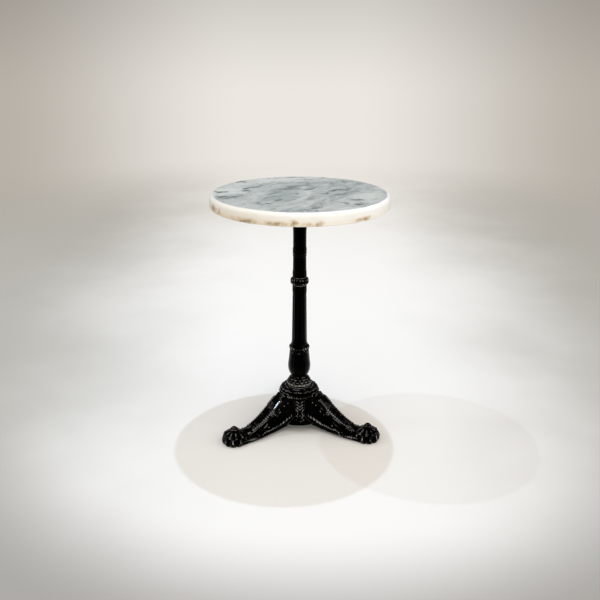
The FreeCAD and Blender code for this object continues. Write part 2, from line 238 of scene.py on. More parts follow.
def black_paint():
    """Gloss black paint on a cast skin, dusty in the hollows, with a painted highlight of bright bare-iron
    colour where it stands proud.
    """
    deep_black = (0.0002, 0.0002, 0.0002, 1)
    soft_black = (0.0007, 0.0007, 0.0007, 1)
    dust_colour = (0.005, 0.0046, 0.004, 1)
    # Colour of the painted highlight on proud relief.
    glint_colour = (0.5, 0.49, 0.47, 1)
    look = Surface("black_gloss_paint")
    patchy = look.noise(38, 3)
    proud = look.node("ShaderNodeAttribute", {}, "Fac", attribute_name="proud")
    dust = look.math("MULTIPLY", look.ramp(proud, -0.12, -0.5), look.ramp(patchy, 0.4, 0.7, 0.1, 0.5))
    # Painted highlight: proud relief takes a bright bare-iron colour and turns metallic, standing in for
    # glints of light on the gloss paint; noise leaves gaps in it.
    glint_gaps = look.ramp(look.noise(55, 3), 0.4, 0.6, 0.2, 0.0)
    painted_glint = look.ramp(look.math("SUBTRACT", proud, glint_gaps), 0.12, 0.48)
    coat = look.mix(look.ramp(patchy, 0.35, 0.65), deep_black, soft_black)
    dusted = look.mix(dust, coat, dust_colour)
    look.set(Base_Color=look.mix(painted_glint, dusted, glint_colour), Metallic=painted_glint)
    look.set(IOR=1.22, Specular_Tint=(0.05, 0.05, 0.05, 1))
    gloss = look.ramp(look.noise(70, 5), 0.3, 0.7, 0.07, 0.13)
    look.set(Roughness=look.math("ADD", gloss, look.math("MULTIPLY", painted_glint, 0.16)))
    grit = look.math("MULTIPLY", look.noise(900, 2), 0.3)
    look.bump(look.math("ADD", grit, look.noise(160, 3)), 0.1, 0.2 * MM)
    return look.material


def plain_metal(name, light, dark, scale, rough):
    """Machined metal with fine turning lines and a few duller patches."""
    look = Surface(name)
    patchy = look.noise(scale, 4)
    lines = look.noise(scale * 6, 2, place=look.stretched((1, 1, 0.07)))
    look.set(Base_Color=look.mix(look.ramp(patchy, 0.35, 0.7), light, dark), Metallic=1.0)
    look.set(Roughness=look.ramp(look.math("ADD", patchy, lines), 0.7, 1.3, rough, rough + 0.18))
    look.bump(lines, 0.2, 0.1 * MM)
    return look.material


def pad_rubber():
    """Dull black rubber with a fine grain."""
    dark = (0.018, 0.018, 0.018, 1)
    light = (0.04, 0.04, 0.038, 1)
    look = Surface("pad_rubber")
    grain = look.noise(600, 3)
    look.set(Base_Color=look.mix(look.ramp(grain, 0.35, 0.65), dark, light))
    look.set(Roughness=look.ramp(grain, 0.3, 0.7, 0.7, 0.9))
    look.bump(grain, 0.3, 0.2 * MM)
    return look.material


def patches(look, places, level, warp):
    """Soft ovals about a level of the slab, as high as 1 in their middles."""
    total = 0.0
    for x, y, rise, length, width, height, degrees in places:
        inside = look.node("ShaderNodeMapping", {
            "Vector": warp, "Location": (x * MM, y * MM, (level + rise) * MM),
            "Rotation": (0, 0, math.radians(degrees)),
            "Scale": (length * MM, width * MM, height * MM)}, vector_type="TEXTURE")
        oval = look.node("ShaderNodeTexGradient", {"Vector": inside}, 1, gradient_type="SPHERICAL")
        total = look.math("MAXIMUM", oval, total)
    return total


# Darker veins and spots on the top, and stains along the rim, where the photograph shows them:
# x, y, rise over the slab's top or base, half length, half width, half height, turn in degrees
top_marks = [
    (-134, 132, 0, 24, 16, 20, 20), (-112, 54, 0, 92, 11, 20, 56), (-120, 24, 0, 26, 16, 20, 40),
    (-186, 13, 0, 16, 22, 20, 0), (-170, -43, 0, 28, 24, 20, 15), (-80, 67, 0, 12, 10, 20, 0),
    (8, 48, 11, 100, 80, 20, 0), (-2, 186, 0, 54, 10, 20, 0), (65, 183, 0, 26, 9, 20, 0),
    (110, 123, 0, 15, 13, 20, 0), (70, 2, 0, 52, 14, 20, 42), (106, 34, 0, 28, 18, 20, 30),
    (97, -26, 0, 14, 15, 20, 0), (87, -118, 0, 15, 15, 20, 0), (127, -132, 0, 24, 20, 20, 0),
    (125, -87, 0, 28, 14, 20, 10), (21, -158, 0, 30, 20, 20, 0), (9, -183, 0, 24, 10, 20, 0),
    (-57, -87, 0, 22, 14, 20, 45), (-74, -118, 0, 17, 13, 20, 0), (-98, -117, 0, 24, 14, 20, 10),
]
rim_stains = [
    (-196, -72, 9, 22, 26, 13, 0), (-186, -98, 10, 12, 16, 13, 0), (-128, -166, 5, 46, 26, 9, -36),
    (-66, -199, 5, 40, 16, 8, -16), (-22, -208, 8, 19, 13, 12, 0), (16, -209, 5, 26, 13, 10, 5),
    (122, -171, 7, 40, 26, 8, 38), (204, -52, 16, 6, 15, 15, 0), (206, -44, 19, 6, 12, 10, 0),
    (60, 201, 7, 50, 16, 9, -16), (-160, 136, 6, 44, 20, 8, 50), (176, 112, 8, 36, 20, 9, -58),
]


def marble():
    """Honed grey marble top, with a cream rim that is stained along its lower edge."""
    look = Surface("marble")
    drift = look.node("ShaderNodeTexNoise", {"Vector": look.place, "Scale": 30.0, "Detail": 5.0}, 1)
    shake = look.vector("SUBTRACT", drift, (0.5, 0.5, 0.5))
    warp = look.vector("MULTIPLY_ADD", shake, (0.08, 0.05, 0.02), look.place)

    # Top: clouds, veins and flecks, and the placed marks
    cloud_turn = math.radians(40)
    vein_turn = math.radians(44)
    cloud = look.noise(7, 5, 0.6, 0.6, look.stretched((1.8, 0.8, 1), cloud_turn))
    streak = look.noise(17, 6, 0.62, 1.1, look.stretched((2.5, 0.7, 1), vein_turn))
    speckle = look.noise(60, 4, 0.6, 0.4, look.stretched((1.7, 0.8, 1), vein_turn))
    breaks = look.noise(62, 6, 0.65, 0.5, look.stretched((2.8, 0.8, 1), vein_turn))
    vein = look.ramp(look.math("ABSOLUTE", look.math("SUBTRACT", streak, 0.5)), 0.045, 0.0)
    veins = look.math("MULTIPLY", vein, look.ramp(cloud, 0.6, 0.42, 0.1, 0.7))
    flecks = look.math("MULTIPLY", look.ramp(speckle, 0.57, 0.7), 0.75)
    spots = patches(look, top_marks, slab_top, warp)
    marks = look.math("MULTIPLY", spots, look.ramp(breaks, 0.4, 0.58, 0.36, 1.4))
    ground = look.mix(look.ramp(cloud, 0.34, 0.66), tint(164, 169, 164), tint(210, 210, 203))
    veined = look.mix(veins, ground, tint(112, 121, 121))
    flecked = look.mix(flecks, veined, tint(106, 115, 115))
    top = look.mix(look.ramp(marks, 0.08, 0.8, 0.0, 0.9), flecked, tint(88, 98, 100))

    # Rim: cream, with painted shade that makes it darker to the left and brighter to the right, stained
    # darker towards the lower edge, and the placed stains
    across = look.coordinate(look.place, "X")
    level = look.coordinate(look.place, "Z")
    # Painted shade: both rim colours are darker to the left and brighter to the right, as light falls on the
    # rim.
    pale = look.mix(look.ramp(across, -0.2, 0.1), tint(242, 236, 223), tint(255, 255, 253))
    tan_and_shade = look.mix(look.ramp(across, -0.2, 0.16), tint(228, 214, 190), tint(254, 250, 242))
    cream = look.mix(look.ramp(level, (slab_base + 19) * MM, (slab_base + 5) * MM), pale, tan_and_shade)
    soft = look.mix(look.ramp(look.noise(16, 5), 0.35, 0.7, 0.0, 0.35), cream, tint(236, 226, 208))
    grain = look.noise(46, 5, 0.66, 0.8, look.stretched((1, 1, 0.7)))
    stains = patches(look, rim_stains, slab_base, warp)
    stain = look.math("MULTIPLY", stains, look.ramp(grain, 0.3, 0.62, 0.45, 1.3))
    worn = look.mix(look.ramp(stain, 0.03, 0.62, 0.0, 0.9), soft, tint(212, 192, 160))
    rim = look.mix(look.ramp(stain, 0.5, 1.0, 0.0, 0.75), worn, tint(142, 120, 95))

    # The top's colours end at a ragged border
    ragged = look.ramp(look.noise(45, 4), 0.25, 0.75, -0.3 * MM, 0.3 * MM)
    border = look.math("ADD", level, ragged)
    face = look.ramp(border, (slab_top - 1.2) * MM, (slab_top - 0.1) * MM)
    look.set(Base_Color=look.mix(face, rim, top), Specular_IOR_Level=0.35)
    look.set(Roughness=look.ramp(look.noise(30, 4), 0.3, 0.7, 0.3, 0.46))
    pits = look.math("MULTIPLY", look.ramp(look.noise(240, 3), 0.3, 0.42), 0.3)
    look.bump(look.math("ADD", pits, look.noise(40, 4)), 0.15, 0.3 * MM)
    return look.material


paint = black_paint()
steel = plain_metal("zinc_steel", (0.62, 0.62, 0.63, 1), (0.4, 0.4, 0.41, 1), 90, 0.28)
brass = plain_metal("turned_brass", (0.78, 0.58, 0.26, 1), (0.5, 0.36, 0.15, 1), 110, 0.26)
rubber = pad_rubber()
stone = marble()
cad_materials = {
    "top_spider": paint, "spider_pads": rubber, "slab_inserts": brass, "tie_rod": steel,
    "spider_screws": steel, "spider_washers": steel, "rod_top_nut": steel, "rod_top_washer": steel,
    "rod_bottom_nut": steel, "rod_bottom_washer": steel, "leg_bolts": steel, "leg_washers": steel,
}
for node, material in cad_materials.items():
    mesh = frame["nodes"][node].data
    mesh.materials.clear()
    mesh.materials.append(material)


# Meshes
proud_reach = 2.0
sharp_angle = math.radians(62)


def proud_heights(points, quads):
    """How far each point stands proud of the surface about it, within a reach of a few millimetres; it masks
    the painted highlight and the dust of the paint.
    """
    count = len(points)
    ends = np.vstack([quads[:, [corner, (corner + 1) % 4]] for corner in range(4)])
    spacing = np.median(np.linalg.norm(points[ends[:, 0]] - points[ends[:, 1]], axis=1))
    here = ends.ravel()
    there = ends[:, ::-1].ravel()
    shares = np.bincount(here, minlength=count)
    smooth = points
    for _ in range(round((proud_reach / spacing) ** 2)):
        smooth = np.stack([np.bincount(here, smooth[there, axis], count) / shares for axis in range(3)], 1)
    spread = np.cross(points[quads[:, 2]] - points[quads[:, 0]], points[quads[:, 3]] - points[quads[:, 1]])
    corners = quads.ravel()
    normal = np.stack([np.bincount(corners, np.repeat(spread[:, axis], 4), count) for axis in range(3)], 1)
    normal /= np.linalg.norm(normal, axis=1)[:, None]
    return ((points - smooth) * normal).sum(1)


def add_mesh(name, points, quads, proud):
    """Painted mesh that carries how proud each of its points stands."""
    mesh = bpy.data.meshes.new(name)
    mesh.from_pydata((points * MM).tolist(), [], quads.tolist())
    mesh.attributes.new("proud", "FLOAT", "POINT").data.foreach_set("value", proud)
    mesh.materials.append(paint)
    mesh.shade_smooth()
    mesh.set_sharp_from_angle(angle=sharp_angle)
    return mesh


def add_piece(name, mesh, node, turn=0.0):
    """Piece on the body root that shows in place of a node, turned about the column."""
    piece = bpy.data.objects.new(name, mesh)
    piece.matrix_world = Matrix.Rotation(turn, 4, "Z")
    bpy.context.scene.collection.objects.link(piece)
    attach(piece, "root")
    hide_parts(node)


def ring_quads(rows, columns, closed):
    """Faces of a grid that is closed around, and from its last row to its first where asked."""
    row = np.arange(rows if closed else rows - 1)[:, None]
    column = np.arange(columns)[None, :]
    after = (row + 1) % rows
    beside = (column + 1) % columns
    corners = [row * columns + column, row * columns + beside,
               after * columns + beside, after * columns + column]
    return np.stack(corners, -1).reshape(-1, 4)


# Castings of the column are turned grids with relief, over the frame's rod bore and spigots.
# Outlines are radii and levels, and the factor before a form of the relief is its height.
bore_radius = 6.8
spigot_radius = 11.5
spigot_height = 4.0
socket_radius = 11.8
socket_depth = 4.5
seat_margin = 0.6
proud_margin = 3.0


def turned_grid(outline, inner, columns, relief):
    """Closed grid: the outline, raised along its normal by the relief, and the plain inner profile."""
    angle = np.arange(columns) * math.tau / columns
    tangent = np.gradient(outline, axis=0)
    normal = np.stack([tangent[:, 1], -tangent[:, 0]], 1)
    normal /= np.linalg.norm(normal, axis=1)[:, None]
    height = relief(angle[None, :], outline[:, 1][:, None])
    radius = outline[:, :1] + normal[:, :1] * height
    level = outline[:, 1:] + normal[:, 1:] * height
    ones = np.ones((1, columns))
    radius = np.vstack([radius, np.array(inner)[:, :1] * ones])
    level = np.vstack([level, np.array(inner)[:, 1:] * ones])
    points = np.stack([radius * np.cos(angle), radius * np.sin(angle), level], -1)
    return points.reshape(-1, 3), ring_quads(len(radius), columns, True)


def casting(node, outline, columns, relief, proud_scale):
    """One casting of the column. Relief and the painted highlight end at its seats, and the last argument
    says how strongly its proud relief shows as painted highlight and dust.
    """
    base = base_of[node]
    top = top_of[node]
    spigot_top = top + spigot_height
    socket_top = base + socket_depth
    inner = [(spigot_radius, top), (spigot_radius, spigot_top), (bore_radius, spigot_top),
             (bore_radius, socket_top), (socket_radius, socket_top), (socket_radius, base)]

    def seated(angle, level):
        return relief(angle, level) * window(level, base, top, seat_margin)

    points, quads = turned_grid(outline, inner, columns, seated)
    # Painted highlight: the proud attribute, scaled, and faded out near the seats.
    proud = proud_heights(points, quads) * window(points[:, 2], base, top, proud_margin) * proud_scale
    name = node + "_casting"
    add_piece(name, add_mesh(name, points, quads, proud), node)


def tongues(angle, level, root, tip, count):
    """Ring of pointed leaves that lie along a shaft, from a root level to a tip level."""
    return leaf(fold(angle, count, FRONT), (level - root) / (tip - root))


def capital():
    base = base_of["capital"]
    top = top_of["capital"]
    throat = base + 66
    outline = smooth_curve([(15.9, base), (15.9, base + 14), (16.6, throat),
                            (23.3, top - 7), (30, top)], 0.6)

    def relief(angle, level):
        lancets = tongues(angle, level, base + 2, base + 17, 12)
        band = dome((level - base - 3) / 2.2)
        lip = dome((level - top + 3.5) / 3.0)
        return np.maximum(lancets, 0.8 * band) + 0.9 * lip

    casting("capital", outline, 220, relief, 0.25)


def upper_shaft():
    base = base_of["upper_shaft"]
    top = top_of["upper_shaft"]
    outline = smooth_curve([(16.5, base), (15.9, top)], 0.5)

    def relief(angle, level):
        band = dome((level - top + 2.2) / 1.8)
        return np.maximum(1.1 * tongues(angle, level, base, base + 15, 10), 0.7 * band)

    casting("upper_shaft", outline, 240, relief, 0.3)


def column_ring():
    base = base_of["column_ring"]
    top = top_of["column_ring"]
    middle = (base + top) / 2
    outline = smooth_curve([(17, base), (17, base + 1), (21.2, base + 6), (21.7, middle),
                            (21.2, top - 6), (16.8, top - 1), (16.8, top)], 0.4)
    lobe_pairs = 9

    def relief(angle, level):
        lobes = np.abs(np.cos(lobe_pairs * (angle - FRONT))) ** 0.55 - 0.75
        return 2.0 * lobes * window(level, base + 1, top - 1, 4)

    casting("column_ring", outline, 520, relief, 0.85)


def lower_shaft():
    base = base_of["lower_shaft"]
    top = top_of["lower_shaft"]
    outline = smooth_curve([(19.0, base), (16.7, top)], 0.7)

    def relief(angle, level):
        flutes = dome(fold(angle, 12, FRONT) / 0.8) * window(level, base + 9, top - 20, 6)
        hanging = tongues(angle, level, top, top - 17, 10)
        foot = dome((level - base - 2.5) / 2.4)
        return np.maximum(1.1 * hanging, 0.9 * foot) - 0.8 * flutes

    casting("lower_shaft", outline, 260, relief, 0.3)


def bead_collar():
    base = base_of["bead_collar"]
    top = top_of["bead_collar"]
    radius = 22.8
    outline = smooth_curve([(radius, base), (22.3, base + 4), (radius, base + 10), (19, top)], 0.3)
    beads = 20

    def row(angle, level, centre, size, first):
        across = fold(angle, beads, first) * math.pi * radius / beads
        return size * dome(np.hypot(across, level - centre) / size)

    def relief(angle, level):
        large = row(angle, level, base + 10, 2.9, 0)
        small = row(angle, level, base + 4, 2.1, math.pi / beads)
        shoulder = row(angle, level, base + 15, 1.6, math.pi / beads)
        return np.maximum(np.maximum(large, small), shoulder)

    casting("bead_collar", outline, 520, relief, 0.36)


def baluster():
    base = base_of["baluster"]
    top = top_of["baluster"]
    outline = smooth_curve([(19.6, base), (25.5, base + 14), (27.3, base + 28),
                            (25.15, base + 48), (23, top)], 0.5)
    blades = 6

    def relief(angle, level):
        across = np.abs(fold(angle, blades, FRONT))
        from_seam = fold(angle, blades, FRONT + math.pi / blades)
        rise = (level - base) / (top - base)
        edge = 0.86 - 0.1 * smoothstep(rise, 0.55, 1.0)
        blade = 0.5 * dome(across / edge)
        rolled = dome((across - edge) / 0.1)
        behind = 0.8 * leaf(from_seam / 0.3, (rise - 0.2) / 0.72)
        veins = 0.35 * dome((np.abs(from_seam) - 0.14) / 0.05) * window(rise, 0.1, 0.85, 0.1)
        return np.maximum(np.maximum(blade, rolled), behind) - veins - 0.3

    casting("baluster", outline, 420, relief, 0.4)


def base_collar():
    """Rows of leaves that hang over each other, above a plain drum with an edge line at top and bottom."""
    base = base_of["base_collar"]
    top = top_of["base_collar"]
    outline = smooth_curve([(28.5, base), (30.3, base + 10), (24.95, base + 20.5), (19.6, top)], 0.4)
    drum_top = base + 9.5
    rows = 3
    overlap = 0.4
    pitch = (top - drum_top) / (rows + overlap)

    def relief(angle, level):
        leaves = np.zeros_like(angle + level)
        for row in range(rows):
            root = top - 0.2 - row * pitch
            tip = root - (1 + overlap) * pitch
            along = (level - root) / (tip - root)
            count = 14 + 2 * row
            scale = shingle(fold(angle, count, FRONT + math.pi * (row % 2) / count) / 0.97, along)
            leaves = np.maximum(leaves, scale * (0.5 + 1.3 * np.clip(along, 0, 1)))
        upper_line = dome((level - drum_top + 0.9) / 1.3)
        lower_line = 0.5 * dome((level - base - 1.6) / 1.6)
        hollow = 0.4 + 1.1 * window(level, base + 3, drum_top - 2, 1)
        return np.maximum(leaves, np.maximum(upper_line, lower_line)) - hollow

    casting("base_collar", outline, 440, relief, 1.2)


# Marble slab: a turned grid with two round edges, slightly uneven, and chipped in places
def marble_slab():
    top_rounding = 11.5
    bottom_rounding = 3.0
    quarter = np.linspace(0, math.pi / 2, 13)
    lower = np.stack([slab_radius - bottom_rounding + bottom_rounding * np.sin(quarter),
                      slab_base + bottom_rounding * (1 - np.cos(quarter))], 1)
    upper = np.stack([slab_radius - top_rounding + top_rounding * np.cos(quarter),
                      slab_top - top_rounding + top_rounding * np.sin(quarter)], 1)
    wall = np.linspace(lower[-1], upper[0], 10)[1:-1]
    inward = np.linspace(1, 0, 60)[1:-1, None]
    floor_run = np.hstack([inward[::-1] * lower[0, 0], np.full((len(inward), 1), slab_base)])
    roof_run = np.hstack([inward * upper[-1, 0], np.full((len(inward), 1), slab_top)])
    profile = np.vstack([floor_run, lower, wall, upper, roof_run])
    columns = 540
    angle = np.arange(columns) * math.tau / columns
    radius = np.repeat(profile[:, :1], columns, 1)
    level = np.repeat(profile[:, 1:], columns, 1)

    on_rim = smoothstep(radius, slab_radius - 12, slab_radius - 2)
    waves = range(3, 40)
    phases = rng.uniform(0, math.tau, len(waves))
    uneven = sum(np.sin(wave * angle + phase) / wave for wave, phase in zip(waves, phases))
    radius = radius - on_rim * (0.12 + 0.1 * uneven)
    chips = 26
    low_share = 0.7
    chip_turns = rng.uniform(0, math.tau, chips)
    chip_draws = rng.uniform(0, 1, chips)
    chip_sizes = rng.uniform(1.5, 5.0, chips)
    chip_depths = rng.uniform(0.3, 1.0, chips)
    for turn, draw, size, depth in zip(chip_turns, chip_draws, chip_sizes, chip_depths):
        around = np.angle(np.exp(1j * (angle - turn))) * slab_radius
        chip_level = slab_base + 2 if draw < low_share else slab_top - 3
        near = np.exp(-((around / size) ** 2 + ((level - chip_level) / (0.6 * size)) ** 2))
        radius = radius - on_rim * depth * near

    points = np.stack([radius * np.cos(angle), radius * np.sin(angle), level], -1).reshape(-1, 3)
    quads = ring_quads(len(profile), columns, False)
    first = np.arange(columns)
    last = first + (len(profile) - 1) * columns
    faces = quads.tolist() + [first[::-1].tolist(), last.tolist()]
    mesh = bpy.data.meshes.new("marble_slab")
    mesh.from_pydata((points * MM).tolist(), [], faces)
    mesh.materials.append(stone)
    mesh.shade_smooth()
    add_piece("marble_slab", mesh, "marble_top")


# Signed distances, for the castings that aren't turned
def axes(start, end, step):
    """Three coordinates over a box, which broadcast together."""
    runs = [np.arange(first, last + step, step, dtype=np.float32) for first, last in zip(start, end)]
    return np.meshgrid(*runs, indexing="ij", sparse=True)


def join(first, second, blend):
    """Union of two bodies with a fillet."""
    share = np.clip(0.5 + 0.5 * (second - first) / blend, 0, 1)
    return second + (first - second) * share - blend * share * (1 - share)


def cut(first, second, blend):
    """What both fields enclose, with a rounded edge."""
    return -join(-first, -second, blend)


def ball(place, centre, radius):
    """Distance from the surface of a ball."""
    x, y, z = place
    return np.sqrt((x - centre[0]) ** 2 + (y - centre[1]) ** 2 + (z - centre[2]) ** 2) - radius


def surface_net(field, start, step):
    """Quads on the zero level of a grid of signed distances."""
    corners = np.array(list(itertools.product((0, 1), repeat=3)))
    shape = np.array(field.shape) - 1
    inside = field < 0
    count = np.zeros(shape, np.int8)
    for corner in corners:
        count += inside[tuple(slice(skip, skip + size) for skip, size in zip(corner, shape))]
    cells = np.argwhere((count > 0) & (count < len(corners)))
    index = np.full(shape, -1, np.int32)
    index[tuple(cells.T)] = np.arange(len(cells))
    values = np.stack([field[tuple((cells + corner).T)] for corner in corners], 1)
    total = np.zeros((len(cells), 3))
    hits = np.zeros((len(cells), 1))
    for first, second in itertools.combinations(range(len(corners)), 2):
        if np.abs(corners[first] - corners[second]).sum() != 1:
            continue
        crossing = (values[:, first] < 0) != (values[:, second] < 0)
        span = np.where(crossing, values[:, first] - values[:, second], 1)
        share = np.where(crossing, values[:, first] / span, 0)[:, None]
        point = corners[first] + share * (corners[second] - corners[first])
        total += point * crossing[:, None]
        hits += crossing[:, None]
    points = np.array(start) + (cells + total / hits) * step
    faces = []
    for axis in range(3):
        ahead = np.roll(np.eye(3, dtype=int)[0], axis)
        beside = np.roll(ahead, 1)
        above = np.roll(ahead, 2)
        sizes = shape - 1 + ahead
        near = inside[tuple(slice(1 - skip, 1 - skip + size) for skip, size in zip(ahead, sizes))]
        far = inside[tuple(slice(1, 1 + size) for size in sizes)]
        edges = np.argwhere(near != far) + 1 - ahead
        leaving = inside[tuple(edges.T)]
        around = [edges - beside - above, edges - above, edges, edges - beside]
        quad = np.stack([index[tuple(cell.T)] for cell in around], 1)
        faces.append(np.where(leaving[:, None], quad, quad[:, ::-1]))
    return points, np.vstack(faces)


# Legs: one mesh along +X that the three legs share
leg_shoulder = 54.0
ankle_radius = 152.0
ankle_height = 24.0
root_drop = 1.0
sole_gap = 1.5
crest_curve = 1.45
edge_height = 6.0
rib_start = 37.0
rib_end = 80.0
rail_start = 63.0
rail_end = 86.0
rail_height = 2.2
rail_lean = 0.22
bolt_levels = (40, 70)
leg_hole_radius = 4.7
leg_hole_depth = 25
# Half widths, and the height of the flank's lower border, at the leg's root and at its ankle
top_halves = (18.5, 15)
bottom_halves = (24.5, 28)
border_heights = (18.4, 9)


def between(value, start, end):
    """Share of the way from start to end, held from 0 to 1."""
    return np.clip((value - start) / (end - start), 0, 1)


def leg_crest(x):
    """Level of the leg's top."""
    root = rim_level - root_drop * (1 - between(x, seat_radius, leg_shoulder))
    fall = 1 - between(x, leg_shoulder, ankle_radius)
    return np.where(x < leg_shoulder, root, ankle_height + (rim_level - ankle_height) * fall ** crest_curve)


def leg_underside(x):
    """Level of the leg's underside."""
    fall = 1 - between(x, seat_radius, foot_radius)
    return sole_gap + (apron_level - sole_gap) * fall ** 2


def taper(x, root, ankle):
    """A size of the leg that changes evenly from its root to its ankle."""
    return root + (ankle - root) * between(x, seat_radius, ankle_radius)


def half_top(x):
    return taper(x, *top_halves)


def half_bottom(x):
    return taper(x, *bottom_halves)


def border_level(x):
    return leg_underside(x) + taper(x, *border_heights)


# Leaves on the leg's flank, as (root, tip, half width), with each end a radius and a level
flank_leaves = [
    ((148, 22), (103, 46), 5.0), ((147, 19), (106, 35), 5.0), ((133, 16.5), (112, 20.5), 3.2),
    ((150, 21), (126, 31), 3.6), ((143, 25), (137, 14), 2.4), ((155, 19), (136, 13.5), 2.8),
    ((150, 10), (124, 12), 3.4), ((136, 8), (122, 17), 3.0), ((84, 51), (70, 66), 3.4),
    ((80, 49), (68, 58), 2.4),
]
# Beads and a ring on the flank, as (radius from the column, level, size)
flank_beads = [(46.5, 75, 1.8), (57, 70, 1.5), (104, 27, 2.6), (140, 19.5, 2.4)]
flank_ring = (89.5, 54.5, 3.6)


def nearest(value, first, gap):
    """Offset from the nearest of evenly spaced places."""
    return (value - first) - gap * np.round((value - first) / gap)


def flank_share(x, z):
    """Place on the flank: 0 at its lower border and 1 at its upper edge."""
    border = border_level(x)
    return (z - border) / (leg_crest(x) - edge_height - border)


def half_width(x, z):
    """Half width of the leg without its relief."""
    return half_bottom(x) + (half_top(x) - half_bottom(x)) * np.clip(flank_share(x, z), 0, 1)


def rib_level(x):
    """Middle of the rib along the lower border, which climbs a little towards the hub."""
    return border_level(x) + 1.5 + 5.0 * (1 - between(x, rib_start, rib_end))


def leg_beam(x, y, z):
    """Beam of the leg, with a sunk panel, rib, beads and leaves on both sides and feathering on top."""
    side = np.abs(y)
    underside = leg_underside(x)
    across = flank_share(x, z)

    # Flank: a window along x says where a form starts and ends, and how softly
    panel = window(x, 30, 112, 12) * window(across, 0.02, 0.98, 0.2)
    swelling = 0.85 + 0.15 * np.cos((x - 46) * math.tau / 9)
    rib = dome((z - rib_level(x)) / 3.8) * window(x, rib_start, rib_end, 2.5) * swelling
    bead_start = 79
    bead_gap = 5.4
    row_place = nearest(x, bead_start, bead_gap)
    beads = dome(np.hypot(row_place, z - border_level(x) - 1) / 2.4) * window(x, 77, 112, 1)
    for radius, level, size in flank_beads:
        beads = np.maximum(beads, dome(np.hypot(x - radius, z - level) / size))
    ring_radius, ring_level, ring_size = flank_ring
    from_ring = np.hypot(x - ring_radius, z - ring_level) - ring_size
    beads = np.maximum(beads, dome(from_ring / 1.5))
    hem_start = 60
    hem_gap = 8.5
    hem_place = nearest(x, hem_start, hem_gap)
    hem = dome(np.hypot(hem_place / 4.0, (z - underside - 4.5) / 3.6)) * window(x, 56, 150, 4)
    leaves = np.zeros_like(x + z)
    for root, tip, width in flank_leaves:
        leaves = np.maximum(leaves, leaf_on(x, z, root, tip, width))
    curl_radius, curl_level, curl_size = (131, 13, 5.5)
    curl = dome((np.hypot(x - curl_radius, z - curl_level) - curl_size) / 1.7)
    raised = np.maximum(np.maximum(3.4 * rib, 2.3 * beads), np.maximum(0.45 * hem, 3.0 * leaves))
    flank = half_width(x, z) - 1.8 * panel + np.maximum(raised, 2.4 * curl)

    # Top: slanting ridges on both sides of a spine
    ridge_gap = 7.2
    phase = (x + 1.8 * side) / ridge_gap
    ridges = dome(2 * (phase - np.round(phase)) / 0.94)
    feather = ridges * window(side, 1.2, 14.5, 2) * window(x, 50, 152, 4)
    spine = np.exp(-((side / 1.7) ** 2)) * window(x, 50, 156, 8)
    roof = leg_crest(x) + 1.6 * np.maximum(feather, spine) - 1.4

    slope = slope_length(x[:, 0, 0])[:, None, None]
    shoulder = 1 - between(x, leg_shoulder, rail_start + 6)
    body = cut((z - roof) / slope, (side - flank) * 0.95, 1.6 + 6.0 * shoulder)
    return cut(body, underside - z, 2.0)


def slope_length(x):
    """Length of the crest per millimetre of radius."""
    return np.hypot(1, np.gradient(leg_crest(x), x))


def rail_and_rib_glint(points):
    """Extra painted highlight on the flat tops of the rails and on the crown of the rib."""
    x, y, z = points.T
    on_rail = smoothstep(z - leg_crest(x), 1.2, 2.0) * window(x, rail_start, rail_end, 2)
    raised = smoothstep(np.abs(y) - half_width(x, z), 0.3, 1.2)
    on_rib = raised * dome((z - rib_level(x)) / 3.6) * window(x, rib_start, rib_end, 3)
    return 0.6 * on_rail + 0.2 * on_rib


def leg_trim(place, body):
    """Flat rails and then bead rows along the two top edges, and two rings and a ball at the ankle."""
    x, y, z = place
    mirrored = (x, np.abs(y), z)

    above = (z - leg_crest(x)) / slope_length(x[:, 0, 0])[:, None, None]
    rail_half = 3.4 - 1.4 * between(x, rail_start, rail_end)
    offset = mirrored[1] - half_top(x) + rail_half - 1.0
    roof = above + rail_lean * offset - rail_height * smoothstep(x, rail_start - 1, rail_start + 9)
    rail = cut(np.maximum(np.abs(offset) - rail_half, -5 - above), roof, 0.7)
    rail = cut(rail, np.maximum(rail_start - x, x - rail_end), 0.8)
    body = join(body, rail, 0.5)

    beads_end = 148
    bead_pitch = 6.0
    bead_radius = 2.8
    run = np.linspace(leg_shoulder, beads_end, 400)
    length = np.concatenate([[0], np.cumsum(np.hypot(np.diff(run), np.diff(leg_crest(run))))])
    first_bead = np.interp(rail_end, run, length) + 3.6
    for distance in np.arange(first_bead, length[-1], bead_pitch):
        radius = np.interp(distance, length, run)
        centre = (radius, half_top(radius) - 1.4, float(leg_crest(radius)) - 0.2)
        body = join(body, ball(mirrored, centre, bead_radius), 0.4)

    ring_half = 2.2
    rings = np.maximum(dome((x - 153) / ring_half), dome((x - 158.5) / ring_half))
    body = body - 1.5 * rings * smoothstep(z, 4, 10)
    ankle_ball = ball(place, (159, 0, 17), 11.5)
    return join(body, ankle_ball, 1.5)


